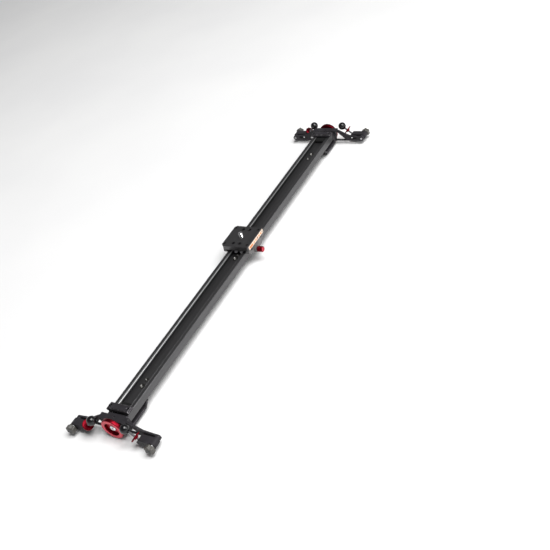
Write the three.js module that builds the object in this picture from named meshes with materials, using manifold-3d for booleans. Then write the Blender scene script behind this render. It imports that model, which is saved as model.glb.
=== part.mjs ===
// A roller slider for a camera, a metre long: a slotted rail, a carriage on four grooved wheels, and at each
// end a bracket, a round port and two folding legs with levelling screws.
// Millimetres. +X runs along the rail to its far end, +Y is the left side and +Z is up. The origin is on the
// surface that the slider stands on, under the middle of the rail.
import * as THREE from "three";
import { mergeVertices } from "three/addons/utils/BufferGeometryUtils.js";
import Module from "manifold-3d";

const wasm = await Module();
wasm.setup();

// ---- driving dimensions ----
const GAP = 0.3; // left between pieces that touch
const [FINE, ROUND, SMALL] = [36, 20, 12]; // facets round a large ring, a knob or wheel, and a pin
const RAIL = { end: 469, half: 23.5, top: 38, height: 17.5, floorDepth: 9.5 };
const RACE = { apex: 12.8, depth: 3.5, lip: 14.8, wall: 17.5 };
const BUMPER = { inner: 452.3, outer: 468.7, half: 27, height: 8 };
const STOP = { inner: 440, outer: 452, half: 11.8 };
const BRACKET = { start: 412, heel: 436, outer: 476, half: 24.5, flange: 4, web: 9, keelHalf: 17.5, keel: 9 };
const WING = { inner: 482, outer: 486, top: 41.5, bottom: 8 }; // inner, outer: the arms' faces along X
const HUB = { inner: 476.3, outer: 490.5, half: 32.5, waist: 26.5, waistZ: 29, foot: 21.5 };
const SLOT = { y0: 64.5, y1: 80, z: 18.2, r: 3.2, depth: 2.8, screwY: 69 }; // the pocket on an arm's inner face
const PIVOT = { y: 95, z: 16 }; // the leg's pivot, seen along X
const BALL = { x: 500.2, y: 40.1, z: 41.8, r: 9.5 }; // the stowed foot
const LEG = { inner: 490.5, outer: 506, half: 7.5, entry: 31 }; // entry: from the ball's centre to the block
const ROD = { r: 2.5, tail: 15 }; // the tail is the length inside the leg block
const NUT = { r: 11.5, thickness: 3.2, hub: 2, loose: 24, tight: 17 }; // loose, tight: from the ball's centre
const KNOB = { r: 9.5, lobe: 1, length: 12 };
const RING = { z: 25.4, r: 24, recess: 15.5, depth: 6, outer: 498.7 };
const CARRIAGE = { x: 30.5, length: 71, half: 35.6, bottom: 44.5, top: 55 };
const SKIRT = { inner: 25.5, outer: 33.5, shoulder: 36, bottom: 24.7 };
const WHEEL = { x: 24, y: 8.1, r: 6.2, groove: 4.4, half: 3, bore: 2.8 };
const BRAKE = { x: 22, z: 31, r: 6.5, length: 14.5, boss: 5, shoe: 3.8, shoeHead: 3.2 };

// Where the levelling screw's axis runs, from the ball towards the leg block.
const SCREW_AXIS = new THREE.Vector3(0, 0.724, -0.69).normalize();
const RAIL_FLOOR = RAIL.top - RAIL.floorDepth;
const RAIL_BOTTOM = RAIL.top - RAIL.height;

// ---- shapes ----
const vectors = (points) => points.map(([a, b]) => new THREE.Vector2(a, b));
const outline = (points) => new THREE.Shape(vectors(points));

function circle(a, b, r) {
  return new THREE.Path().absarc(a, b, r, 0, 2 * Math.PI, true);
}

function extruded(shape, depth, curveSegments = 8) {
  return new THREE.ExtrudeGeometry(shape, { depth, bevelEnabled: false, curveSegments });
}

// A (y, z) outline, from x0 to x1.
function alongX(shape, x0, x1, curveSegments) {
  const turn = new THREE.Matrix4().makeBasis(
    new THREE.Vector3(0, 1, 0),
    new THREE.Vector3(0, 0, 1),
    new THREE.Vector3(1, 0, 0),
  );
  return extruded(shape, x1 - x0, curveSegments).applyMatrix4(turn).translate(x0, 0, 0);
}

// An (x, z) outline, from y0 to y1.
function alongY(shape, y0, y1, curveSegments) {
  return extruded(shape, y1 - y0, curveSegments).rotateX(Math.PI / 2).translate(0, y1, 0);
}

// An (x, y) outline, from z0 to z1.
function alongZ(shape, z0, z1, curveSegments) {
  return extruded(shape, z1 - z0, curveSegments).translate(0, 0, z0);
}

function box(x0, x1, y0, y1, z0, z1) {
  const block = new THREE.BoxGeometry(x1 - x0, y1 - y0, z1 - z0);
  return block.translate((x0 + x1) / 2, (y0 + y1) / 2, (z0 + z1) / 2);
}

// A turned piece: its profile is a list of [radius, distance along the axis], and the axis points along +Y.
function turned(profile, segments = ROUND) {
  return new THREE.LatheGeometry(vectors(profile), segments);
}

const toX = (geometry) => geometry.rotateZ(-Math.PI / 2);
const toZ = (geometry) => geometry.rotateX(Math.PI / 2);

// A plain pin from a0 to a1 along +Y.
function pin(r, a0, a1, segments = SMALL) {
  return turned([[0, a0], [r, a0], [r, a1], [0, a1]], segments);
}

// ---- booleans ----
function solid(geometry) {
  const bare = geometry.index ? geometry.toNonIndexed() : geometry.clone();
  bare.deleteAttribute("normal");
  bare.deleteAttribute("uv");
  const merged = mergeVertices(bare, 1e-4);
  return new wasm.Manifold(
    new wasm.Mesh({
      numProp: 3,
      vertProperties: new Float32Array(merged.attributes.position.array),
      triVerts: new Uint32Array(merged.index.array),
    }),
  );
}

function cut(body, ...tools) {
  return tools.reduce((left, tool) => left.subtract(solid(tool)), body);
}

function join(body, ...others) {
  return others.reduce((sum, other) => sum.add(solid(other)), body);
}

function geometryOf(made) {
  const mesh = made.getMesh();
  const geometry = new THREE.BufferGeometry();
  geometry.setAttribute("position", new THREE.BufferAttribute(mesh.vertProperties, mesh.numProp));
  geometry.setIndex(new THREE.BufferAttribute(mesh.triVerts, 1));
  const flat = geometry.toNonIndexed();
  flat.computeVertexNormals();
  return flat;
}

// ---- materials ----
function material(color, roughness, metalness) {
  return new THREE.MeshStandardMaterial({ color, roughness, metalness });
}

const MATERIALS = {
  anodised: material(0x1b1b1d, 0.42, 0.6),
  cast: material(0x2a292c, 0.6, 0.5),
  red: material(0xb0142c, 0.35, 0.7),
  steel: material(0xb8b8ba, 0.3, 1),
  plastic: material(0x1a1a1b, 0.5, 0),
  rubber: material(0x111111, 0.85, 0),
  label: material(0xe8894a, 0.6, 0),
};

const slider = new THREE.Group();

function addTo(group, name, geometry, look) {
  const mesh = new THREE.Mesh(geometry.isBufferGeometry ? geometry : geometryOf(geometry), MATERIALS[look]);
  mesh.name = name;
  group.add(mesh);
  return mesh;
}

// ---- rail ----
// The rail is one extrusion. It is held as a base and two walls, which meet at the channel's floor.
const mirrored = (points) => points.map(([y, z]) => [-y, z]).reverse();

function baseShape() {
  const { half, floorDepth, height } = RAIL;
  const right = [[half - 1, -height], [half, -height + 1], [half, -floorDepth]];
  const shape = outline([...right, ...mirrored(right)]);
  const cell = [[-8, -15.4], [-8, -11.6], [8, -11.6], [8, -15.4]];
  shape.holes.push(new THREE.Path(vectors(cell)));
  for (const side of [-1, 1]) {
    shape.holes.push(circle(side * 17.2, -13.2, 2.1));
  }
  return shape;
}

// The left wall, with the ridge that the wheels run on.
function wallPoints() {
  const { half, floorDepth } = RAIL;
  const { apex, depth, lip, wall } = RACE;
  return [
    [wall, -floorDepth],
    [half, -floorDepth],
    [half, -0.8],
    [half - 0.8, 0],
    [lip + 1.6, 0],
    [lip + 1.1, -0.9],
    [lip + 0.4, -0.9],
    [lip, -0.5],
    [apex, -depth],
    [lip, -2 * depth + 0.5],
    [wall, -2 * depth + 0.5],
  ];
}

// The threaded inserts in the channel floor: [name, x, body radius, bore radius, flange radius].
const LARGE_INSERT = [5.2, 3.9, 6.4];
const SMALL_INSERT = [3.4, 2.5, 4.6];
const INSERTS = [
  ["near_large", -392.9, LARGE_INSERT],
  ["near_small", -376.4, SMALL_INSERT],
  ["centre_large", -14.6, LARGE_INSERT],
  ["centre_small", -2.6, SMALL_INSERT],
  ["far_small", 369.6, SMALL_INSERT],
  ["far_large", 389.9, LARGE_INSERT],
];

function addRail() {
  const bar = (shape) => alongX(shape, -RAIL.end, RAIL.end, 6).translate(0, 0, RAIL.top);
  const holes = INSERTS.map(([, x, [body]]) =>
    toZ(pin(body + GAP, RAIL_BOTTOM - 1, RAIL_FLOOR + 1)).translate(x, 0, 0),
  );
  addTo(slider, "rail_base", cut(solid(bar(baseShape())), ...holes), "anodised");
  addTo(slider, "rail_wall_left", bar(outline(wallPoints())), "anodised");
  addTo(slider, "rail_wall_right", bar(outline(mirrored(wallPoints()))), "anodised");
  for (const [name, x, [body, bore, flange]] of INSERTS) {
    const low = RAIL_BOTTOM;
    const seat = RAIL_FLOOR + GAP;
    const high = seat + 0.5;
    const profile = [
      [bore, low], [body, low], [body, seat], [flange, seat], [flange, high], [bore, high], [bore, low],
    ];
    addTo(slider, `insert_${name}`, toZ(turned(profile, SMALL + 2)).translate(x, 0, 0), "steel");
  }
}

// ---- ends ----
// Everything at an end is made for the far end, and a group mirrors it to the near one.
function bumperBar() {
  const { inner, outer, half, height } = BUMPER;
  const z0 = RAIL.top + GAP;
  const z1 = RAIL.top + height;
  const face = outline([
    [-half, z0 + 1.5], [-half + 1.5, z0], [half - 1.5, z0], [half, z0 + 1.5],
    [half, z1 - 3], [half - 3, z1], [3 - half, z1], [-half, z1 - 3],
  ]);
  const side = outline([
    [inner, z0], [outer, z0], [outer, z1 - 1.5], [outer - 1.5, z1], [inner + 1.5, z1], [inner, z1 - 1.5],
  ]);
  return solid(alongX(face, inner, outer)).intersect(solid(alongY(side, -half, half)));
}

function rubberStop() {
  const { inner, outer, half } = STOP;
  const low = RAIL_FLOOR + GAP;
  const high = RAIL.top - 0.5;
  const side = outline([
    [inner + 1.5, low], [outer, low], [outer, high], [inner + 3, high], [inner, high - 3], [inner, low + 1.5],
  ]);
  return alongY(side, -half, half);
}

// The bracket closes the rail's end and carries a flanged gusset with a narrow keel under it.
function endBracket() {
  const { start, heel, outer, half, flange, web, keelHalf, keel } = BRACKET;
  const high = RAIL_BOTTOM - GAP;
  const endFace = RAIL.end + GAP + 0.1;
  const gusset = outline([[start, high], [outer, high], [outer, 0], [heel, 0]]);
  const run = heel - start;
  const slant = (flange * Math.hypot(run, high)) / high;
  const floor = keel + flange;
  const pocket = outline([
    [start + slant, high],
    [endFace, high],
    [endFace, floor],
    [heel + slant - (run * floor) / high, floor],
  ]);
  const section = (top) => [[keelHalf, 0], [half, keel], ...top];
  const foot = section([[half, high]]);
  const block = section([[half, RAIL.top - 3], [half - 2, RAIL.top - 1]]);
  const sides = (right) => outline([...right, ...mirrored(right)]);
  let body = solid(alongY(gusset, -half, half)).intersect(solid(alongX(sides(foot), start - 1, outer)));
  body = cut(body, alongY(pocket, web, half + 1), alongY(pocket, -half - 1, -web));
  return join(body, alongX(sides(block), endFace, outer));
}

// One side of the arms, as (y, z) from the middle of the top edge to the middle of the bottom edge.
function wingHalf() {
  const tip = 6;
  const points = [[0, WING.top], [HUB.half, WING.top], [63, 25], [PIVOT.y - 8, PIVOT.z + tip]];
  const steps = 8;
  for (let i = 0; i <= steps; i++) {
    const a = ((60 - (150 * i) / steps) * Math.PI) / 180;
    points.push([PIVOT.y + tip * Math.cos(a), PIVOT.z + tip * Math.sin(a)]);
  }
  points.push([HUB.foot + 6, PIVOT.z - tip], [HUB.foot, WING.bottom], [0, WING.bottom]);
  return points;
}

// The hub's outline narrows from its top corners round the port to its foot.
function hubShape() {
  const { half, waist, waistZ, foot } = HUB;
  const right = [[foot, WING.bottom], [waist, waistZ], [half, WING.top]];
  return outline([...right, ...mirrored(right)]);
}

// The hub with both arms: a truss window, a slot pocket and a pivot hole on each side.
function wingPlate() {
  const { inner, outer } = WING;
  const right = wingHalf();
  const left = mirrored(right.slice(1, -1));
  const arms = solid(alongX(outline([...right, ...left]), inner, outer));
  const plate = join(arms, alongX(hubShape(), HUB.inner, HUB.outer));
  const tools = [toX(pin(7, HUB.inner - 1, HUB.outer + 1)).translate(0, 0, RING.z)];
  for (const side of [-1, 1]) {
    const window = [[HUB.waist + 4, 36], [53, 13], [HUB.foot + 2, 13]].map(([y, z]) => [side * y, z]);
    tools.push(alongX(outline(window), inner - 1, outer + 1));
    tools.push(alongX(slotShape(side), inner - 1, inner + SLOT.depth));
    tools.push(toX(pin(3.3, inner - 1, outer + 1)).translate(0, side * PIVOT.y, PIVOT.z));
  }
  return cut(plate, ...tools);
}

function slotShape(side) {
  const { y0, y1, z, r } = SLOT;
  const shape = new THREE.Shape();
  const [low, high] = side > 0 ? [y0, y1] : [-y1, -y0];
  shape.absarc(high, z, r, -Math.PI / 2, Math.PI / 2, false);
  shape.absarc(low, z, r, Math.PI / 2, 1.5 * Math.PI, false);
  return shape;
}

function slotScrew() {
  const seat = WING.inner + SLOT.depth - GAP;
  return toX(turned([[0, seat - 2], [1.6, seat - 2], [2.6, seat - 1], [2.6, seat], [0, seat]], SMALL));
}

function endRing() {
  const { r, recess, depth, outer } = RING;
  const base = HUB.outer + GAP;
  const profile = [
    [7, base], [r - 1.2, base], [r, base + 1.2], [r, outer - 1], [r - 1, outer], [recess + 0.8, outer],
    [recess, outer - 0.8], [recess, outer - depth], [7, outer - depth], [7, base],
  ];
  return toX(turned(profile, FINE)).translate(0, 0, RING.z);
}

function ringBush() {
  const low = HUB.inner + 2;
  const high = RING.outer - 2.6;
  const profile = [
    [0, low], [6.6, low], [6.6, high - 0.8], [5.8, high], [1.8, high], [1.8, high - 7], [0, high - 7],
  ];
  return toX(turned(profile)).translate(0, 0, RING.z);
}

// ---- legs ----
// The point at a distance along the levelling screw's axis, measured from the ball's centre.
function onScrew(along) {
  return new THREE.Vector3(BALL.x, BALL.y, BALL.z).addScaledVector(SCREW_AXIS, along);
}

// Turns a piece made along +Y to lie on the levelling screw's axis, measured from the ball's centre.
function alongScrew(geometry) {
  const turn = new THREE.Quaternion().setFromUnitVectors(new THREE.Vector3(0, 1, 0), SCREW_AXIS);
  return geometry.applyQuaternion(turn).translate(BALL.x, BALL.y, BALL.z);
}

// The block round the pivot. Its inner end is square to the levelling screw, with a corner at each distance
// from the screw's axis.
function legBlock() {
  const { inner, outer, half, entry } = LEG;
  const corner = (across) => {
    const mouth = onScrew(entry);
    return [mouth.y - across * SCREW_AXIS.z, mouth.z + across * SCREW_AXIS.y];
  };
  const [low, high] = [corner(-4.6), corner(4.2)];
  const shape = new THREE.Shape();
  shape.moveTo(...low);
  shape.lineTo(low[0] + 3.5, PIVOT.z - half);
  shape.absarc(PIVOT.y, PIVOT.z, half, -Math.PI / 2, Math.PI / 2, false);
  shape.lineTo(high[0] + 1, PIVOT.z + half);
  shape.lineTo(...high);
  const boss = toX(pin(6, WING.outer + GAP, inner + 1)).translate(0, PIVOT.y, PIVOT.z);
  const pivotHole = toX(pin(3.3, WING.outer - 1, outer + 1)).translate(0, PIVOT.y, PIVOT.z);
  const screwHole = alongScrew(pin(ROD.r + GAP, entry - 6, entry + 40));
  return cut(join(solid(alongX(shape, inner, outer)), boss), pivotHole, screwHole);
}

// A six-lobed knob with its stud, which runs through the leg block and the wing plate.
function clampKnob() {
  const lobes = 6;
  const steps = lobes * 5;
  const points = [];
  for (let i = 0; i < steps; i++) {
    const a = (i / steps) * 2 * Math.PI;
    const r = KNOB.r + KNOB.lobe * Math.cos(lobes * a);
    points.push([r * Math.cos(a), r * Math.sin(a)]);
  }
  const start = LEG.outer + GAP;
  const body = solid(alongX(outline(points), start + 1.8, start + KNOB.length));
  const collar = toX(pin(6.5, start, start + 2.5));
  const stud = toX(pin(3, WING.inner - 1, start + 3));
  return join(body, collar, stud).translate([0, PIVOT.y, PIVOT.z]);
}

function levelScrew() {
  const tail = LEG.entry + ROD.tail;
  const { r } = ROD;
  const profile = [[0, 3.5], [r - 0.5, 3.5], [r, 4.5], [r, tail - 1], [r - 0.8, tail], [0, tail]];
  return alongScrew(turned(profile, SMALL));
}

// A rubber ball with a socket that takes the end of the screw.
function footBall() {
  const socket = ROD.r + GAP;
  const profile = [];
  const steps = 9;
  const mouth = Math.asin(socket / BALL.r);
  for (let i = 0; i <= steps; i++) {
    const a = Math.PI - ((Math.PI - mouth) * i) / steps;
    profile.push([BALL.r * Math.sin(a), BALL.r * Math.cos(a)]);
  }
  profile[0][0] = 0;
  profile.push([socket, 3.2], [0, 3.2]);
  return alongScrew(turned(profile));
}

// A thin round nut with a small hub towards the leg block.
function lockNut(along) {
  const { r, thickness, hub } = NUT;
  const low = along - thickness / 2;
  const high = along + thickness / 2;
  const bore = ROD.r + GAP;
  return alongScrew(turned([
    [bore, low], [r - 0.8, low], [r, low + 0.8], [r, high - 0.8], [r - 0.8, high],
    [5, high], [5, high + hub], [bore, high + hub], [bore, low],
  ]));
}

function addEnd(name, direction) {
  const end = new THREE.Group();
  end.scale.x = direction;
  slider.add(end);
  addTo(end, `bumper_bar_${name}`, bumperBar(), "cast");
  addTo(end, `rubber_stop_${name}`, rubberStop(), "rubber");
  addTo(end, `end_bracket_${name}`, endBracket(), "cast");
  addTo(end, `wing_plate_${name}`, wingPlate(), "cast");
  addTo(end, `end_ring_${name}`, endRing(), "red");
  addTo(end, `ring_bush_${name}`, ringBush(), "steel");
  for (const [side, sign] of [["left", 1], ["right", -1]]) {
    const corner = new THREE.Group();
    corner.scale.y = sign;
    end.add(corner);
    const screw = addTo(corner, `slot_screw_${name}_${side}`, slotScrew(), "steel");
    screw.position.set(0, SLOT.screwY, SLOT.z);
    addTo(corner, `leg_block_${name}_${side}`, legBlock(), "cast");
    addTo(corner, `clamp_knob_${name}_${side}`, clampKnob(), "plastic");
    addTo(corner, `level_screw_${name}_${side}`, levelScrew(), "steel");
    addTo(corner, `foot_ball_${name}_${side}`, footBall(), "rubber");
    const along = name === "far" && side === "right" ? NUT.tight : NUT.loose;
    addTo(corner, `lock_nut_${name}_${side}`, lockNut(along), "red");
  }
}

// ---- carriage ----
function carriagePlate() {
  const { length, half, bottom, top } = CARRIAGE;
  const [left, right] = [6, 2]; // corner cuts
  const long = length / 2;
  const plan = outline([
    [-long + right, -half], [long - right, -half], [long, -half + right], [long, half - left],
    [long - left, half], [-long + left, half], [-long, half - left], [-long, -half + right],
  ]);
  const edge = 1;
  const bevelled = (reach) => outline([
    [-reach, bottom], [reach, bottom], [reach, top - edge],
    [reach - edge, top], [edge - reach, top], [-reach, top - edge],
  ]);
  const plate = solid(alongZ(plan, bottom, top))
    .intersect(solid(alongY(bevelled(long), -half, half)))
    .intersect(solid(alongX(bevelled(half), -long, long)));
  const studHole = toZ(pin(5.2, bottom - 1, top + 1, ROUND));
  const stepHole = toZ(pin(8.4, bottom - 1, bottom + 4, ROUND));
  return cut(plate, studHole, stepHole);
}

// A skirt hangs outside the rail.
function skirt(sign) {
  const long = CARRIAGE.length / 2 - 2;
  const high = CARRIAGE.bottom - GAP;
  const { shoulder, bottom } = SKIRT;
  const shape = outline([
    [-long, high], [-long, shoulder], [-14, bottom], [17, bottom], [long, shoulder], [long, high],
  ]);
  const [y0, y1] = sign > 0 ? [SKIRT.inner, SKIRT.outer] : [-SKIRT.outer, -SKIRT.inner];
  return solid(alongY(shape, y0, y1));
}

function cameraScrew() {
  const { bottom, top } = CARRIAGE;
  const low = bottom + 0.5;
  const step = bottom + 3.7;
  const r = 4.76;
  const tip = top + 10;
  const profile = [[0, low], [8, low], [8, step], [r, step], [r, tip - 1], [r - 0.9, tip], [0, tip]];
  return toZ(turned(profile));
}

function roller() {
  const { r, groove, half, bore } = WHEEL;
  const flat = 0.6;
  const profile = [
    [bore, -half], [r - 0.3, -half], [r, -half + 0.4], [groove, -flat / 2], [groove, flat / 2],
    [r, half - 0.4], [r - 0.3, half], [bore, half], [bore, -half],
  ];
  return toZ(turned(profile));
}

// A shouldered bolt: its collar hangs from the plate, and its head keeps the wheel on.
function rollerAxle() {
  const { half, bore } = WHEEL;
  const top = CARRIAGE.bottom - GAP - (RAIL.top - RACE.depth);
  const shank = bore - GAP;
  const collar = 3.8;
  const low = -half - 1.4;
  const profile = [
    [0, low], [collar, low], [collar, -half - GAP], [shank, -half - GAP],
    [shank, half + GAP], [collar, half + GAP], [collar, top], [0, top],
  ];
  return toZ(turned(profile, SMALL));
}

function brakeKnob() {
  const { r, length, boss, shoeHead } = BRAKE;
  const face = -SKIRT.outer - boss - GAP;
  const end = face - length;
  const stem = -SKIRT.inner - shoeHead - GAP;
  const profile = [
    [0, end], [r - 1, end], [r, end + 1], [r, face - 2.5], [r - 1.5, face - 1.5],
    [r - 1.5, face], [2.7, face], [2.7, stem], [0, stem],
  ];
  return turned(profile);
}

function addCarriage() {
  const carriage = new THREE.Group();
  carriage.position.x = CARRIAGE.x;
  slider.add(carriage);
  const atBrake = (geometry) => geometry.translate(BRAKE.x - CARRIAGE.x, 0, BRAKE.z);
  const bossEnd = -SKIRT.outer - BRAKE.boss;
  const boss = atBrake(pin(BRAKE.r + 1, bossEnd, -SKIRT.inner - 1, ROUND));
  const stem = atBrake(pin(3, bossEnd - 1, -SKIRT.inner + 1));
  const seat = atBrake(pin(BRAKE.shoe + GAP, -SKIRT.inner - BRAKE.shoeHead, -SKIRT.inner + 1));
  addTo(carriage, "carriage_plate", carriagePlate(), "anodised");
  addTo(carriage, "carriage_skirt_left", skirt(1), "cast");
  addTo(carriage, "carriage_skirt_right", cut(join(skirt(-1), boss), stem, seat), "cast");
  addTo(carriage, "camera_screw", cameraScrew(), "steel");
  const long = CARRIAGE.length / 2 - 3;
  const back = -CARRIAGE.half - GAP;
  const label = box(-long, long, back - 0.5, back, CARRIAGE.bottom + 1, CARRIAGE.top - 1);
  addTo(carriage, "label_strip", label, "label");
  const wheelHeight = RAIL.top - RACE.depth;
  for (const [end, dx] of [["near", -1], ["far", 1]]) {
    for (const [side, dy] of [["left", 1], ["right", -1]]) {
      const station = new THREE.Group();
      station.position.set(dx * WHEEL.x, dy * WHEEL.y, wheelHeight);
      carriage.add(station);
      addTo(station, `roller_${end}_${side}`, roller(), "steel");
      addTo(station, `roller_axle_${end}_${side}`, rollerAxle(), "steel");
    }
  }
  addTo(slider, "brake_knob", brakeKnob().translate(BRAKE.x, 0, BRAKE.z), "red");
  const shoe = pin(BRAKE.shoe, -SKIRT.inner - 3, -RAIL.half - 0.8).translate(BRAKE.x, 0, BRAKE.z);
  addTo(slider, "brake_shoe", shoe, "rubber");
}

addRail();
addEnd("near", -1);
addEnd("far", 1);
addCarriage();

export default slider;
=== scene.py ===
"""A roller slider for a camera: the looks of each piece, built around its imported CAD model, in metres."""

import math

import bmesh
import bpy
from mathutils import Matrix, Vector


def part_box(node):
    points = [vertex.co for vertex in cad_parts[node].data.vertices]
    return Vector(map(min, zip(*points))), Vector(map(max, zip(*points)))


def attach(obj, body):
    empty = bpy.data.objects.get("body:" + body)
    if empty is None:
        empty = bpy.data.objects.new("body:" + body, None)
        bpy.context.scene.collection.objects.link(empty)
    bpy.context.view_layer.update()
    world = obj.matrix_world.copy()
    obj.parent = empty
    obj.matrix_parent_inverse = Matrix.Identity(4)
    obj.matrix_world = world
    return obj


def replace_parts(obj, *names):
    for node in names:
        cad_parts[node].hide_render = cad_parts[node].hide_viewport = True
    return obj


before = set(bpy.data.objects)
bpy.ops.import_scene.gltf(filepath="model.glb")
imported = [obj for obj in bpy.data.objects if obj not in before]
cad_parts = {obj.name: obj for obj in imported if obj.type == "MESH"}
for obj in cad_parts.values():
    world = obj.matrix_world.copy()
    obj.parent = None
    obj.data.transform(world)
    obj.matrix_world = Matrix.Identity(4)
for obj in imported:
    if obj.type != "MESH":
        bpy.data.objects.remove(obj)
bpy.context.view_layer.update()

ENDS = {"near": -1, "far": 1}
SIDES = {"left": 1, "right": -1}
CORNERS = [(end, side) for end in ENDS for side in SIDES]
GAP = 0.0003  # what the CAD leaves between pieces that touch

# The camera: where it stands, where it looks, in degrees, and how far it is tilted clockwise.
CAMERA = {"at": (-1.104, -0.9926, 1.0598), "heading": 39.65, "down": 37.03, "tilt": 20.08, "lens": 53.67}

LIGHTS = {
    "key": {"at": (-0.2, -2.0, 4.4), "towards": (0.1, 0.4, 0), "size": 3.2, "power": 310},
    "side": {"at": (0.6, -3.2, 1.7), "towards": (0.3, 0, 0.03), "size": 1.8, "power": 35},
}

SCREW_AXIS = Vector((0, 0.724, -0.69))  # a left foot's, from its ball to its leg block
SCREW = {"radius": 0.0025, "start": 0.0035, "end": 0.046, "pitch": 0.0011}
NUT = {"radius": 0.0115, "half": 0.0016, "hub": 0.005, "hub_height": 0.002, "loose": 0.024, "tight": 0.017}
BALL = 0.0095
KNOB = {"radius": 0.0095, "lobe": 0.1, "lobes": 6}
RING = {"radius": 0.024, "recess": 0.0155, "bore": 0.007, "depth": 0.006}
BRAKE_KNOB = 0.0065
WHEEL = {"radius": 0.0062, "groove": 0.0044, "half": 0.003, "bore": 0.0028}
RACE = {"inner": 0.0127, "outer": 0.0149, "low": 0.0344}  # |y| of the race's upper flank, and its lower edge
CAMERA_SCREW = {"radius": 0.00476, "pitch": 0.00159, "flange": 0.0078, "thickness": 0.003}
LARGE_INSERT = {"bore": 0.0039, "flange": 0.0064}
SMALL_INSERT = {"bore": 0.0025, "flange": 0.0046}


# ---- places, from the CAD model ----
def centre(node):
    low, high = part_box(node)
    return (low + high) / 2


def reach(node, direction):
    """How far a node reaches along X, on the side that direction gives."""
    low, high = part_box(node)
    return high.x if direction > 0 else low.x


def along(axis, at):
    """The matrix that puts a piece made along +Z at a point, along an axis."""
    turn = Vector((0, 0, 1)).rotation_difference(Vector(axis))
    return Matrix.Translation(Vector(at)) @ turn.to_matrix().to_4x4()


# ---- mesh work ----
def piece(mesh, name, body, slot, *materials):
    obj = bpy.data.objects.new(name, mesh)
    bpy.context.scene.collection.objects.link(obj)
    mesh.materials.clear()
    for material in materials:
        mesh.materials.append(material)
    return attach(obj, body)


def faced(obj, axis, material):
    """Gives the faces of a piece that look along an axis another material."""
    obj.data.materials.append(material)
    for face in obj.data.polygons:
        if face.normal.dot(Vector(axis)) > 0.9:
            face.material_index = 1


def rounded(points, radius, steps=3):
    """A profile with its inner corners eased into curves. A point's third value stays with it."""
    eased = [points[0]]
    for before, corner, after in zip(points, points[1:], points[2:]):
        here = Vector(corner[:2])
        ways = [Vector(other[:2]) - here for other in (before, after)]
        start, end = (here + way.normalized() * min(radius, 0.45 * way.length) for way in ways)
        for step in range(steps + 1):
            t = step / steps
            spot = start * (1 - t) ** 2 + here * 2 * t * (1 - t) + end * t ** 2
            eased.append((spot.x, spot.y, *corner[2:]))
    return [*eased, points[-1]]


def turned(profile, axis, at, segments=64):
    """A mesh turned about an axis. A profile point is [radius, distance] and, where the section isn't round,
    a function that gives the radius's factor at an angle. A profile that ends where it starts is a ring."""
    work = bmesh.new()
    place = along(axis, at)
    closed = tuple(profile[0][:2]) == tuple(profile[-1][:2])
    rings = []
    for radius, distance, *shape in profile[:-1] if closed else profile:
        if radius == 0:
            rings.append([work.verts.new(place @ Vector((0, 0, distance)))])
            continue
        ring = []
        for step in range(segments):
            angle = 2 * math.pi * step / segments
            r = radius * shape[0](angle) if shape else radius
            ring.append(work.verts.new(place @ Vector((r * math.cos(angle), r * math.sin(angle), distance))))
        rings.append(ring)
    pairs = list(zip(rings, rings[1:]))
    if closed:
        pairs.append((rings[-1], rings[0]))
    for one, other in pairs:
        for step in range(segments):
            after = (step + 1) % segments
            corners = [ring[index % len(ring)] for ring, index in
                       ((one, step), (one, after), (other, after), (other, step))]
            unique = list(dict.fromkeys(corners))
            if len(unique) > 2:
                work.faces.new(unique)
    return finished_mesh(work)


def finished_mesh(work, sharp=32):
    """The mesh of a bmesh, facing outwards, smooth except where it turns by more than the sharp angle."""
    bmesh.ops.recalc_face_normals(work, faces=work.faces)
    mesh = bpy.data.meshes.new("mesh")
    work.to_mesh(mesh)
    work.free()
    mesh.shade_smooth()
    mesh.set_sharp_from_angle(angle=math.radians(sharp))
    return mesh


def threaded(radius, pitch, start, end, axis, at, segments=24, rows_a_turn=6):
    """A screw thread with chamfered ends: a helix cut into a rod."""
    depth = 0.55 * pitch
    rows = round((end - start) / pitch * rows_a_turn)
    place = along(axis, at)
    work = bmesh.new()
    rings = []
    for row in range(rows + 1):
        distance = start + (end - start) * row / rows
        chamfer = radius - depth + min(distance - start, end - distance)
        ring = []
        for step in range(segments):
            angle = 2 * math.pi * step / segments
            phase = (distance / pitch - step / segments) % 1
            r = min(radius - depth * abs(2 * phase - 1), chamfer)
            ring.append(work.verts.new(place @ Vector((r * math.cos(angle), r * math.sin(angle), distance))))
        rings.append(ring)
    for one, other in zip(rings, rings[1:]):
        for step in range(segments):
            after = (step + 1) % segments
            work.faces.new([one[step], one[after], other[after], other[step]])
    work.faces.new(rings[0])
    work.faces.new(rings[-1])
    return finished_mesh(work, 60)


def hexagon(angle):
    """The factor that turns a circle into the hexagon inside it."""
    return math.cos(math.pi / 6) / math.cos(angle % (math.pi / 3) - math.pi / 6)


def knurl(count, depth):
    """The factor of a rim with straight ridges."""
    return lambda angle: 1 - depth * abs(2 * (angle * count / (2 * math.pi) % 1) - 1)


def lobed(angle):
    return 1 + KNOB["lobe"] * math.cos(KNOB["lobes"] * angle)


def flattened(mesh):
    """A copy of a mesh with its vertices welded and its flat faces whole."""
    work = bmesh.new()
    work.from_mesh(mesh)
    bmesh.ops.remove_doubles(work, verts=work.verts, dist=1e-6)
    bmesh.ops.dissolve_limit(work, angle_limit=math.radians(1), verts=work.verts, edges=work.edges)
    return finished_mesh(work)


def combined(one, other, operation):
    """The union or difference of two meshes."""
    target = bpy.data.objects.new("target", one)
    tool = bpy.data.objects.new("tool", other)
    for obj in (target, tool):
        bpy.context.scene.collection.objects.link(obj)
    boolean = target.modifiers.new("boolean", "BOOLEAN")
    boolean.object = tool
    boolean.operation = operation
    boolean.solver = "EXACT"
    result = bpy.data.meshes.new_from_object(target.evaluated_get(bpy.context.evaluated_depsgraph_get()))
    for obj in (target, tool):
        bpy.data.objects.remove(obj)
    return result


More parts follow.
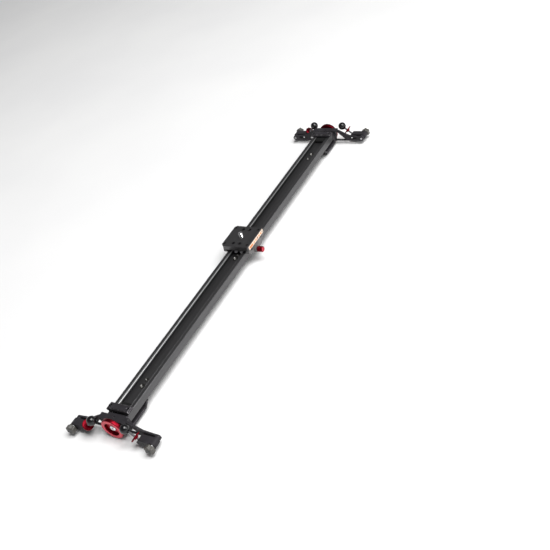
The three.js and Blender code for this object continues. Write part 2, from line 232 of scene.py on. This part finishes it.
def drilled(source, holes):
    """A copy of a mesh with round holes, each (place, axis, radius, depth), sunk into it."""
    cutters = bmesh.new()
    for at, axis, radius, depth in holes:
        inward = -Vector(axis)
        place = along(inward, Vector(at) + inward * (depth / 2 - 0.0005))
        bmesh.ops.create_cone(cutters, cap_ends=True, segments=40, radius1=radius, radius2=radius,
                              depth=depth + 0.001, matrix=place)
    mesh = combined(source, finished_mesh(cutters), "DIFFERENCE")
    mesh.shade_smooth()
    mesh.set_sharp_from_angle(angle=math.radians(32))
    return mesh


def edged(mesh, name, width, body, slot, face, edge):
    """A piece with its edges rounded: face and edge are the materials of its faces and edges."""
    obj = piece(mesh, name, body, slot, face, edge)
    bevel = obj.modifiers.new("edges", "BEVEL")
    bevel.width = width
    bevel.segments = 2
    bevel.limit_method = "ANGLE"
    bevel.angle_limit = math.radians(32)
    # the rounded edges take the edge material: wear and a painted highlight along every edge
    bevel.material = 1
    obj.modifiers.new("normals", "WEIGHTED_NORMAL").keep_sharp = False
    return obj


def softened(node, width, body, slot, face, edge, holes=()):
    """The CAD node's shape, with its edges rounded and holes drilled into it."""
    mesh = flattened(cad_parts[node].data)
    if holes:
        mesh = drilled(mesh, holes)
    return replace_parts(edged(mesh, node + "_shell", width, body, slot, face, edge), node)


# ---- materials ----
class Surface:
    """A Principled material whose colour, roughness and bump come from noise through the object."""

    def __init__(self, name, metallic=0.0, **sockets):
        self.material = bpy.data.materials.new(name)
        self.material.use_nodes = True
        self.tree = self.material.node_tree
        self.shader = self.tree.nodes["Principled BSDF"]
        self.shader.inputs["Metallic"].default_value = metallic
        for socket, value in sockets.items():
            self.shader.inputs[socket.replace("_", " ")].default_value = value
        self.where = self.tree.nodes.new("ShaderNodeTexCoord").outputs["Object"]

    def node(self, kind, **values):
        made = self.tree.nodes.new(kind)
        for name, value in values.items():
            setattr(made, name, value)
        return made

    def link(self, output, target):
        self.tree.links.new(output, target)
        return output

    def noise(self, scale, detail=4.0, stretch=(1, 1, 1)):
        mapping = self.node("ShaderNodeMapping")
        mapping.inputs["Scale"].default_value = stretch
        self.link(self.where, mapping.inputs["Vector"])
        texture = self.node("ShaderNodeTexNoise")
        texture.inputs["Scale"].default_value = scale
        texture.inputs["Detail"].default_value = detail
        self.link(mapping.outputs["Vector"], texture.inputs["Vector"])
        return texture.outputs["Fac"]

    def ramp(self, factor, *stops):
        """Colours at places from 0 to 1."""
        ramp = self.node("ShaderNodeValToRGB")
        elements = ramp.color_ramp.elements
        while len(elements) < len(stops):
            elements.new(0.5)
        for element, (position, colour) in zip(elements, stops):
            element.position = position
            element.color = (*colour, 1)
        self.link(factor, ramp.inputs["Fac"])
        return ramp.outputs["Color"]

    def colour(self, factor, *stops):
        self.link(self.ramp(factor, *stops), self.shader.inputs["Base Color"])
        return self

    def roughness(self, factor, low, high):
        spread = self.node("ShaderNodeMapRange")
        spread.inputs["To Min"].default_value = low
        spread.inputs["To Max"].default_value = high
        self.link(factor, spread.inputs["Value"])
        self.link(spread.outputs["Result"], self.shader.inputs["Roughness"])
        return self

    def bump(self, height, distance, strength):
        bump = self.node("ShaderNodeBump")
        bump.inputs["Strength"].default_value = strength
        bump.inputs["Distance"].default_value = distance
        self.link(height, bump.inputs["Height"])
        self.link(bump.outputs["Normal"], self.shader.inputs["Normal"])
        return self


def scaled(colour, factor):
    return tuple(channel * factor for channel in colour)


def metal(name, colour, rough, **sockets):
    """Bare or anodised metal: a fine grain, uneven gloss and a little colour drift."""
    surface = Surface(name, metallic=1.0, **sockets)
    drift = surface.noise(35, 3)
    surface.colour(drift, (0.35, scaled(colour, 0.86)), (0.65, scaled(colour, 1.1)))
    surface.roughness(surface.noise(160, 5), rough * 0.8, rough * 1.25)
    return surface.bump(surface.noise(1500, 3), 0.00003, 0.35).material


def powder_coat(name, colour):
    """A thin coat over cast metal, a little uneven in colour and gloss."""
    surface = Surface(name, Specular_IOR_Level=0.15)
    surface.colour(surface.noise(40, 4), (0.35, scaled(colour, 0.82)), (0.65, scaled(colour, 1.2)))
    surface.roughness(surface.noise(220, 5), 0.42, 0.6)
    return surface.bump(surface.noise(1400, 3), 0.00006, 0.4).material


def height_ramp(surface, node, *stops):
    """Colours by height, from the lowest point of a CAD node to its highest."""
    split = surface.node("ShaderNodeSeparateXYZ")
    surface.link(surface.where, split.inputs["Vector"])
    low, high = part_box(node)
    upward = surface.node("ShaderNodeMapRange")
    upward.inputs["From Min"].default_value = low.z
    upward.inputs["From Max"].default_value = high.z
    surface.link(split.outputs["Z"], upward.inputs["Value"])
    return surface.ramp(upward.outputs["Result"], *stops)


def polished_race_and_highlight():
    """The rail's flank that the wheels have polished, with a painted highlight: its colour turns bright
    towards the lip.
    """
    surface = Surface("polished_race_and_highlight", metallic=0.9)
    dark, painted_highlight = (0.03, 0.03, 0.031), (0.5, 0.5, 0.5)
    # painted highlight: a bright band in the colour near the top of the flank, dark below it
    highlight_band = height_ramp(surface, "rail_wall_left", (0.76, dark), (0.84, painted_highlight))
    surface.link(highlight_band, surface.shader.inputs["Base Color"])
    surface.roughness(surface.noise(90, 5, (0.1, 1, 1)), 0.3, 0.42)
    return surface.bump(surface.noise(1800, 2, (0.015, 1, 1)), 0.00003, 0.3).material


def anodised_black():
    surface = Surface("anodised_black", metallic=0.85)
    streaks = surface.noise(60, 3, (0.04, 1, 1))
    surface.colour(streaks, (0.3, (0.094, 0.093, 0.096)), (0.7, (0.12, 0.118, 0.121)))
    surface.roughness(surface.noise(90, 5, (0.1, 1, 1)), 0.3, 0.44)
    return surface.bump(surface.noise(1800, 2, (0.015, 1, 1)), 0.00003, 0.3).material


def edge_wear_and_highlight(name, colour, bare_and_lit):
    """An edge where the finish has rubbed thin in places, lighter and glossier than the faces: wear and a
    painted highlight.
    """
    surface = Surface(name, metallic=0.85)
    # lighter patches: rubbed wear and painted highlight
    surface.colour(surface.noise(150, 6), (0.45, colour), (0.75, bare_and_lit))
    surface.roughness(surface.noise(400, 4), 0.25, 0.42)
    return surface.bump(surface.noise(1500, 3), 0.00002, 0.3).material


def plastic(name, colour, rough, grain=1600, **sockets):
    surface = Surface(name, **sockets)
    surface.colour(surface.noise(60, 4), (0.35, scaled(colour, 0.85)), (0.65, scaled(colour, 1.15)))
    surface.roughness(surface.noise(300, 5), rough * 0.85, rough * 1.2)
    return surface.bump(surface.noise(grain, 3), 0.00005, 0.4).material


def label_strip():
    """A printed strip: a pale ground, an orange panel towards one end and plain orange dashes."""
    surface = Surface("label_strip")
    pale, orange, brown = (0.82, 0.66, 0.54), (0.82, 0.22, 0.035), (0.3, 0.11, 0.05)
    split = surface.node("ShaderNodeSeparateXYZ")
    surface.link(surface.where, split.inputs["Vector"])
    low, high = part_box("label_strip")
    lengthwise = surface.node("ShaderNodeMapRange")
    lengthwise.inputs["From Min"].default_value = low.x
    lengthwise.inputs["From Max"].default_value = high.x
    surface.link(split.outputs["X"], lengthwise.inputs["Value"])
    stops = [(0.0, pale), (0.05, orange), (0.27, pale)]
    for dash in range(5):
        start = 0.33 + 0.12 * dash
        stops += [(start, brown if dash == 2 else orange), (start + 0.07, pale)]
    panels = surface.ramp(lengthwise.outputs["Result"], *stops)
    panels.node.color_ramp.interpolation = "CONSTANT"
    border = height_ramp(surface, "label_strip", (0.0, (0, 0, 0)), (0.2, (1, 1, 1)), (0.72, (0, 0, 0)))
    border.node.color_ramp.interpolation = "CONSTANT"
    mix = surface.node("ShaderNodeMix", data_type="RGBA")
    ground, print_, result = mix.inputs[6], mix.inputs[7], mix.outputs[2]  # the mix node's colour sockets
    surface.link(border, mix.inputs["Factor"])
    ground.default_value = (*pale, 1)
    surface.link(panels, print_)
    surface.link(result, surface.shader.inputs["Base Color"])
    surface.roughness(surface.noise(300, 4), 0.3, 0.42)
    return surface.bump(surface.noise(900, 3), 0.00002, 0.3).material


ANODISED = anodised_black()
CAST = powder_coat("cast_black", (0.026, 0.024, 0.0275))
# edge materials: rubbed wear and a painted highlight on the rounded edges
EDGE = edge_wear_and_highlight("edge_wear_and_highlight", (0.1, 0.098, 0.1), (0.28, 0.28, 0.28))
CAST_EDGE = edge_wear_and_highlight("cast_edge_wear_and_highlight", (0.075, 0.07, 0.076), (0.25, 0.24, 0.25))
# two copies of one red anodised finish: the lighter one is painted light on faces that look outwards, the
# darker one is painted shade on rims and nuts
RED = metal("red_anodised", (0.6, 0.016, 0.045), 0.34, Coat_Weight=0.4, Coat_Roughness=0.3, Coat_IOR=1.8)
SHADED_RED = metal("shaded_red_anodised", (0.19, 0.006, 0.014), 0.34)
SKIRT_GREY = powder_coat("skirt_grey", (0.15, 0.147, 0.147))
SKIRT_EDGE = edge_wear_and_highlight("skirt_edge_wear_and_highlight", (0.12, 0.12, 0.12), (0.25, 0.25, 0.25))
STEEL = metal("polished_steel", (0.78, 0.78, 0.79), 0.16)
BEARING = metal("bearing_steel", (0.6, 0.6, 0.62), 0.28)
ZINC = metal("dark_zinc", (0.32, 0.32, 0.33), 0.34)
INSERT_STEEL = metal("insert_steel", (0.17, 0.168, 0.16), 0.36)
POLISHED_RACE_AND_HIGHLIGHT = polished_race_and_highlight()
BLACK_OXIDE = metal("black_oxide", (0.06, 0.06, 0.062), 0.38)
KNOB_PLASTIC = plastic("knob_plastic", (0.075, 0.071, 0.064), 0.42)
NYLON = plastic("nylon", (0.035, 0.035, 0.035), 0.5)
RUBBER = plastic("rubber", (0.008, 0.008, 0.008), 0.75, 900, Specular_IOR_Level=0.2)
GLOSSY_RUBBER = plastic("glossy_rubber", (0.006, 0.006, 0.007), 0.14)
LABEL = label_strip()


# ---- fasteners ----
def socket_screw(name, body, at, axis, radius):
    """A low button head with a hexagon socket, whose head stands on the point."""
    height = 0.5 * radius
    socket = 0.5 * radius
    profile = [
        (0, 0.1 * height), (socket, 0.1 * height, hexagon), (socket, 0.93 * height, hexagon),
        (1.2 * socket, height), (0.72 * radius, 0.92 * height), (radius, 0.45 * height), (radius, 0), (0, 0),
    ]
    mesh = turned(rounded(profile, 0.08 * radius, 2), axis, at, 36)
    return piece(mesh, name, body, "screw_steel", BLACK_OXIDE)


def sunk_screws(prefix, body, holes):
    """A screw at the bottom of each drilled hole."""
    for number, (at, axis, radius, depth) in enumerate(holes, 1):
        floor = Vector(at) - Vector(axis) * (depth + 0.0002)
        socket_screw(f"{prefix}_{number}", body, floor, axis, radius - 0.0003)


# ---- rail ----
def build_rail():
    """The extrusion, whole again from its base and walls, with a polished race along each wall that carries a
    painted highlight.
    """
    nodes = ("rail_base", "rail_wall_left", "rail_wall_right")
    mesh, *walls = [flattened(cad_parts[node].data) for node in nodes]
    for wall in walls:
        mesh = combined(mesh, wall, "UNION")
    rail = edged(flattened(mesh), "rail_shell", 0.00035, "frame", "anodised_black", ANODISED, EDGE)
    rail.data.materials.append(POLISHED_RACE_AND_HIGHLIGHT)
    # the race's flank faces take the polished race material with its painted highlight
    for face in rail.data.polygons:
        spot, normal = face.center, face.normal
        if RACE["inner"] < abs(spot.y) < RACE["outer"] and RACE["low"] < spot.z and 0.3 < normal.z < 0.95:
            face.material_index = 2
    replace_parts(rail, *nodes)


def build_inserts():
    """Threaded inserts with a thin flange on the channel's floor."""
    for node in [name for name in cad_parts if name.startswith("insert_")]:
        low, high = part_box(node)
        size = LARGE_INSERT if node.endswith("large") else SMALL_INSERT
        bore, flange = size["bore"], size["flange"]
        barrel = bore + 0.0009
        pitch = 0.0012
        profile = [(barrel, low.z), (barrel, high.z - 0.0006), (flange, high.z - 0.0006), (flange, high.z)]
        profile.append((bore + 0.0006, high.z))
        turns = int((high.z - low.z - 0.002) / pitch)
        for turn in range(turns):
            top = high.z - 0.0006 - turn * pitch
            profile += [(bore, top), (bore + 0.0005, top - pitch / 2)]
        profile += [(bore, low.z + 0.0004), (bore + 0.0003, low.z), (barrel, low.z)]
        middle = centre(node)
        mesh = turned(profile, (0, 0, 1), (middle.x, middle.y, 0), 48)
        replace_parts(piece(mesh, node + "_threaded", "frame", "insert_steel", INSERT_STEEL), node)


# ---- ends ----
def build_crossbar(end):
    """The bar over the rail's end, with a screw into each of the rail's walls."""
    node = f"bumper_bar_{end}"
    middle = centre(node)
    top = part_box(node)[1].z
    holes = [((middle.x, side * 0.0205, top), (0, 0, 1), 0.0031, 0.0022) for side in SIDES.values()]
    softened(node, 0.0009, "frame", "cast_black", CAST, CAST_EDGE, holes)
    sunk_screws(f"crossbar_screw_{end}", "frame", holes)
    softened(f"rubber_stop_{end}", 0.0006, "frame", "rubber_black", RUBBER, RUBBER)


def build_end_plates(end, direction):
    softened(f"end_bracket_{end}", 0.0005, "frame", "cast_black", CAST, CAST_EDGE)
    node = f"wing_plate_{end}"
    face = reach(node, direction)
    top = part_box(node)[1].z
    holes = [((face - direction * 0.0095, 0, top), (0, 0, 1), 0.0019, 0.002)]
    for side in SIDES.values():
        holes.append(((face, side * 0.0272, top - 0.0037), (direction, 0, 0), 0.0022, 0.002))
    softened(node, 0.0006, "frame", "cast_black", CAST, CAST_EDGE, holes)
    sunk_screws(f"hub_screw_{end}", "frame", holes)


def build_port(end, direction):
    """The red ring, grooved round its face, and the bush in its recess."""
    node = f"end_ring_{end}"
    outer = abs(reach(node, direction))
    base = abs(reach(node, -direction))
    axis = (direction, 0, 0)
    at = (0, 0, centre(node).z)
    radius, recess, bore = RING["radius"], RING["recess"], RING["bore"]
    profile = [(bore, base), (radius - 0.0012, base), (radius, base + 0.0012)]
    profile += [(radius, outer - 0.001), (radius - 0.001, outer)]
    for groove in range(2):
        at_radius = radius - 0.0022 - 0.0036 * groove
        profile += [(at_radius, outer), (at_radius - 0.0003, outer - 0.0003), (at_radius - 0.0006, outer)]
    profile += [(recess + 0.0009, outer), (recess, outer - 0.0009), (recess, outer - RING["depth"])]
    profile += [(bore, outer - RING["depth"]), (bore, base)]
    mesh = turned(rounded(profile, 0.0003), axis, at, 96)
    ring = piece(mesh, f"port_ring_{end}", "frame", "red_anodised", SHADED_RED)
    # the outward face gets the lighter red: painted light on the face, painted shade on the rim
    faced(ring, axis, RED)
    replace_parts(ring, node)
    low, high = (abs(reach(f"ring_bush_{end}", way * direction)) for way in (-1, 1))
    profile = [
        (0, low), (0.0066, low), (0.0066, high - 0.0012), (0.0058, high - 0.0002), (0.0046, high),
        (0.0026, high), (0.0018, high - 0.0008), (0.0018, high - 0.006), (0, high - 0.0066),
    ]
    mesh = turned(rounded(profile, 0.0003), axis, at, 64)
    bush = piece(mesh, f"port_bush_{end}", "frame", "polished_steel", STEEL)
    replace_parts(bush, f"ring_bush_{end}")


def build_slot_screw(end, direction, side):
    node = f"slot_screw_{end}_{side}"
    middle = centre(node)
    inner = reach(node, -direction)
    profile = [
        (0, 0.0006), (0.0011, 0.0006, hexagon), (0.0011, 0.0002, hexagon), (0.0016, 0),
        (0.0026, 0.001), (0.0026, 0.002), (0, 0.002),
    ]
    mesh = turned(rounded(profile, 0.00015), (direction, 0, 0), (inner, middle.y, middle.z), 36)
    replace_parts(piece(mesh, f"slot_bolt_{end}_{side}", "frame", "polished_steel", STEEL), node)


def build_clamp(end, direction, side):
    """A lobed plastic knob with a cap, and the steel stud and washer that turn with it."""
    node = f"clamp_knob_{end}_{side}"
    body = f"clamp_{end}_{side}"
    middle = centre(node)
    at = (0, middle.y, middle.z)
    axis = (direction, 0, 0)
    start = abs(reach(f"leg_block_{end}_{side}", direction)) + GAP
    outer = abs(reach(node, direction))
    radius = KNOB["radius"]
    profile = [
        (0, start + 0.0016), (0.0068, start + 0.0016), (radius - 0.0008, start + 0.0018, lobed),
        (radius - 0.0002, start + 0.003, lobed), (radius - 0.0002, outer - 0.0016, lobed),
        (radius - 0.002, outer, lobed), (0.0056, outer), (0.0052, outer - 0.0007), (0, outer - 0.0007),
    ]
    mesh = turned(rounded(profile, 0.0007, 4), axis, at, 96)
    knob = piece(mesh, f"clamp_grip_{end}_{side}", body, "plastic_black", KNOB_PLASTIC)
    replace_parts(knob, node)
    cap = [(0, outer - 0.0009), (0.005, outer - 0.0009), (0.005, outer - 0.0004), (0.0042, outer), (0, outer)]
    mesh = turned(rounded(cap, 0.0004), axis, at, 48)
    piece(mesh, f"clamp_cap_{end}_{side}", body, "plastic_black", NYLON)
    tip = abs(reach(node, -direction))
    stud = [
        (0, tip), (0.0022, tip), (0.003, tip + 0.0008), (0.003, start - 0.0001), (0.0062, start),
        (0.0062, start + 0.0014), (0.0045, start + 0.0017), (0, start + 0.0017),
    ]
    mesh = turned(rounded(stud, 0.0003), axis, at, 48)
    piece(mesh, f"clamp_stud_{end}_{side}", body, "screw_steel", ZINC)


def build_foot(end, side, sign):
    """The levelling screw, its rubber ball and its knurled lock nut."""
    corner = f"{end}_{side}"
    axis = Vector((0, sign * SCREW_AXIS.y, SCREW_AXIS.z)).normalized()
    ball = f"foot_ball_{corner}"
    at = centre(ball)
    mesh = threaded(SCREW["radius"], SCREW["pitch"], SCREW["start"], SCREW["end"], axis, at)
    screw = piece(mesh, f"threaded_rod_{corner}", f"foot_{corner}", "screw_steel", ZINC)
    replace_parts(screw, f"level_screw_{corner}")
    profile = [(0, -BALL)]
    steps = 28
    for step in range(1, steps + 1):
        angle = math.pi * (1 - step / (steps + 4))
        seam = 0.00012 if abs(angle - math.pi / 2) < 0.06 else 0
        profile.append(((BALL + seam) * math.sin(angle), BALL * math.cos(angle)))
    mouth = profile[-1][1]
    profile += [(0.0034, mouth + 0.0005), (0.003, mouth + 0.0008), (0.0028, mouth + 0.0008)]
    profile += [(0.0028, 0.0034), (0, 0.0034)]
    mesh = turned(profile, axis, at)
    foot = piece(mesh, f"rubber_foot_{corner}", f"foot_{corner}", "rubber_gloss", GLOSSY_RUBBER)
    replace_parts(foot, ball)
    middle = NUT["tight"] if corner == "far_right" else NUT["loose"]
    low, high = middle - NUT["half"], middle + NUT["half"]
    radius, hub, bore = NUT["radius"], NUT["hub"], SCREW["radius"] + 0.0002
    rim = knurl(44, 0.035)
    profile = [
        (bore, low), (radius - 0.0028, low), (radius - 0.0024, low + 0.0003),
        (radius - 0.0009, low + 0.0002, rim), (radius, low + 0.0009, rim), (radius, high - 0.0009, rim),
        (radius - 0.0009, high - 0.0002, rim),
        (radius - 0.0024, high - 0.0003), (hub, high), (hub, high + NUT["hub_height"]),
        (bore, high + NUT["hub_height"]), (bore, low),
    ]
    mesh = turned(rounded(profile, 0.00025, 2), axis, at, 132)
    # the darker red copy: painted shade over the whole nut
    nut = piece(mesh, f"knurled_nut_{corner}", f"nut_{corner}", "red_anodised", SHADED_RED)
    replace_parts(nut, f"lock_nut_{corner}")


def build_leg(end, direction, side, sign):
    corner = f"{end}_{side}"
    softened(f"leg_block_{corner}", 0.0008, f"leg_{corner}", "cast_black", CAST, CAST_EDGE)
    build_slot_screw(end, direction, side)
    build_clamp(end, direction, side)
    build_foot(end, side, sign)


# ---- carriage ----
def build_plate():
    """The carriage plate, with sunk screws over the wheels' axles and along both skirts."""
    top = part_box("carriage_plate")[1].z
    middle = centre("carriage_plate")
    up = (0, 0, 1)
    holes = []
    for end, side in CORNERS:
        axle = centre(f"roller_axle_{end}_{side}")
        holes.append(((axle.x, axle.y, top), up, 0.0042, 0.003))
    for x in (-0.027, 0.027):
        for side in SIDES.values():
            holes.append(((middle.x + x, side * 0.0295, top), up, 0.0031, 0.0024))
    softened("carriage_plate", 0.0005, "carriage", "anodised_black", ANODISED, EDGE, holes)
    sunk_screws("plate_screw", "carriage", holes)


def build_skirts():
    """The skirts, each with a button-head screw near either end."""
    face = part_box("carriage_skirt_left")[1].y
    for side, sign in SIDES.items():
        node = f"carriage_skirt_{side}"
        softened(node, 0.0006, "carriage", "cast_black", SKIRT_GREY, SKIRT_EDGE)
        for end, direction in ENDS.items():
            at = (centre(node).x + direction * 0.0217, sign * face, 0.0405)
            socket_screw(f"skirt_screw_{side}_{end}", "carriage", at, (0, sign, 0), 0.0024)


def build_camera_screw():
    low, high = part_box("camera_screw")
    at = centre("camera_screw")
    foot = (at.x, at.y, 0)
    radius, pitch, flange, thickness = CAMERA_SCREW.values()
    mesh = threaded(radius, pitch, low.z + thickness + 0.0002, high.z, (0, 0, 1), foot, 32, 8)
    screw = piece(mesh, "camera_thread", "carriage", "polished_steel", STEEL)
    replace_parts(screw, "camera_screw")
    top = low.z + thickness
    profile = [(0, low.z), (flange, low.z), (flange, top), (0, top)]
    mesh = turned(rounded(profile, 0.0004), (0, 0, 1), foot, 48)
    piece(mesh, "camera_thread_flange", "carriage", "polished_steel", STEEL)


def build_label():
    softened("label_strip", 0.0001, "carriage", "label_orange", LABEL, LABEL)
    low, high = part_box("label_strip")
    at = (high.x - 0.0035, low.y, (low.z + high.z) / 2)
    socket_screw("label_screw", "carriage", at, (0, -1, 0), 0.0016)


def build_wheel(end, side):
    """A grooved wheel with its bearing's shield, and the shouldered bolt that it runs on."""
    corner = f"{end}_{side}"
    at = centre(f"roller_{corner}")
    radius, groove, half, bore = (WHEEL[key] for key in ("radius", "groove", "half", "bore"))
    profile = [
        (bore, -half), (bore + 0.0009, -half), (bore + 0.0011, -half + 0.0003),
        (radius - 0.0009, -half + 0.0003), (radius - 0.0006, -half), (radius - 0.0002, -half + 0.0001),
        (radius, -half + 0.0005), (groove, -0.0003),
    ]
    profile += [(r, -z) for r, z in reversed(profile)]
    profile.append((bore, -half))
    mesh = turned(rounded(profile, 0.00012, 2), (0, 0, 1), at)
    wheel = piece(mesh, f"wheel_{corner}", f"roller_{corner}", "bearing_steel", BEARING)
    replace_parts(wheel, f"roller_{corner}")
    node = f"roller_axle_{corner}"
    low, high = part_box(node)
    foot = (at.x, at.y, 0)
    shank = bore - GAP
    head = at.z - half - GAP
    shoulder = at.z + half + GAP
    profile = [
        (0, low.z + 0.0009), (0.0016, low.z + 0.0009, hexagon), (0.0016, low.z, hexagon), (0.0033, low.z),
        (0.0038, low.z + 0.0004), (0.0038, head), (shank, head), (shank, shoulder), (0.0038, shoulder),
        (0.0038, high.z), (0, high.z),
    ]
    mesh = turned(rounded(profile, 0.0001, 2), (0, 0, 1), foot, 48)
    axle = piece(mesh, f"axle_bolt_{corner}", "carriage", "polished_steel", STEEL)
    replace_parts(axle, node)


def build_brake():
    """A knurled knob on its stem, and the nylon shoe that it presses on the rail."""
    low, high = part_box("brake_knob")
    middle = centre("brake_knob")
    at = (middle.x, 0, middle.z)
    axis = (0, -1, 0)
    face, end, root = -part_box("carriage_skirt_right")[0].y + GAP, -low.y, -high.y
    radius = BRAKE_KNOB
    rim = knurl(40, 0.04)
    profile = [
        (0, root), (0.0027, root), (0.0027, face), (radius - 0.0015, face), (radius - 0.0015, face + 0.0015),
        (radius, face + 0.0025), (radius, face + 0.0035), (radius, face + 0.004, rim),
        (radius, end - 0.003, rim), (radius, end - 0.0025), (radius, end - 0.001), (radius - 0.001, end),
        (radius - 0.0022, end), (radius - 0.0026, end - 0.0004), (0, end - 0.0004),
    ]
    mesh = turned(rounded(profile, 0.0003, 2), axis, at, 120)
    knob = piece(mesh, "brake_grip", "brake_knob", "red_anodised", SHADED_RED)
    # the end face gets the lighter red: painted light on the end, painted shade on the rim
    faced(knob, axis, RED)
    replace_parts(knob, "brake_knob")
    low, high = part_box("brake_shoe")
    start, end = -high.y, -low.y
    radius = (high.z - low.z) / 2
    profile = [(0, start), (radius - 0.0006, start), (radius, start + 0.0006), (radius, end), (0, end)]
    mesh = turned(rounded(profile, 0.0003), axis, at, 48)
    shoe = piece(mesh, "brake_pad", "brake_shoe", "nylon_black", NYLON)
    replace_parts(shoe, "brake_shoe")


# ---- stage ----
def build_camera():
    """A camera turned from its heading and downward angle, then tilted about its own line of sight."""
    heading, down, tilt = (math.radians(CAMERA[key]) for key in ("heading", "down", "tilt"))
    ahead = Vector((math.cos(heading), math.sin(heading), 0))
    forward = ahead * math.cos(down) - Vector((0, 0, math.sin(down)))
    level = forward.cross(Vector((0, 0, 1))).normalized()
    upright = level.cross(forward)
    right = level * math.cos(tilt) - upright * math.sin(tilt)
    up = upright * math.cos(tilt) + level * math.sin(tilt)
    data = bpy.data.cameras.new("camera")
    data.lens = CAMERA["lens"]
    data.clip_start = 0.05
    camera = bpy.data.objects.new("camera", data)
    turn = Matrix((right, up, -forward)).transposed().to_4x4()
    camera.matrix_world = Matrix.Translation(CAMERA["at"]) @ turn
    bpy.context.scene.collection.objects.link(camera)
    bpy.context.scene.camera = camera


def add_light(name, at, towards, size, power):
    data = bpy.data.lights.new(name, "AREA")
    data.size = size
    data.energy = power
    light = bpy.data.objects.new(name, data)
    light.location = at
    light.rotation_euler = (Vector(towards) - Vector(at)).to_track_quat("-Z", "Y").to_euler()
    bpy.context.scene.collection.objects.link(light)


def build_world():
    """Soft light from all round, much brighter near the horizon than overhead."""
    world = bpy.data.worlds.new("studio")
    bpy.context.scene.world = world
    world.use_nodes = True
    tree = world.node_tree
    where = tree.nodes.new("ShaderNodeTexCoord")
    split = tree.nodes.new("ShaderNodeSeparateXYZ")
    ramp = tree.nodes.new("ShaderNodeValToRGB")
    tree.links.new(where.outputs["Generated"], split.inputs["Vector"])
    tree.links.new(split.outputs["Z"], ramp.inputs["Fac"])
    first, last = ramp.color_ramp.elements
    first.color = (0.6, 0.6, 0.6, 1)
    last.color = (0.1, 0.1, 0.102, 1)
    last.position = 0.5
    tree.links.new(ramp.outputs["Color"], tree.nodes["Background"].inputs["Color"])


def build_floor():
    work = bmesh.new()
    bmesh.ops.create_grid(work, x_segments=1, y_segments=1, size=6)
    floor = bpy.data.objects.new("floor", finished_mesh(work))
    bpy.context.scene.collection.objects.link(floor)
    surface = Surface("floor", Specular_IOR_Level=0.2)
    surface.colour(surface.noise(3, 2), (0.3, (0.86, 0.86, 0.86)), (0.7, (0.89, 0.89, 0.885)))
    surface.roughness(surface.noise(6, 2), 0.75, 0.85)
    floor.data.materials.append(surface.material)


def build_stage():
    build_camera()
    build_world()
    build_floor()
    for name, light in LIGHTS.items():
        add_light(name, **light)
    bpy.context.scene.view_settings.view_transform = "Standard"


build_stage()
build_rail()
build_inserts()
for end, direction in ENDS.items():
    build_crossbar(end)
    build_end_plates(end, direction)
    build_port(end, direction)
    for side, sign in SIDES.items():
        build_leg(end, direction, side, sign)
build_plate()
build_skirts()
build_camera_screw()
build_label()
for end, side in CORNERS:
    build_wheel(end, side)
build_brake()
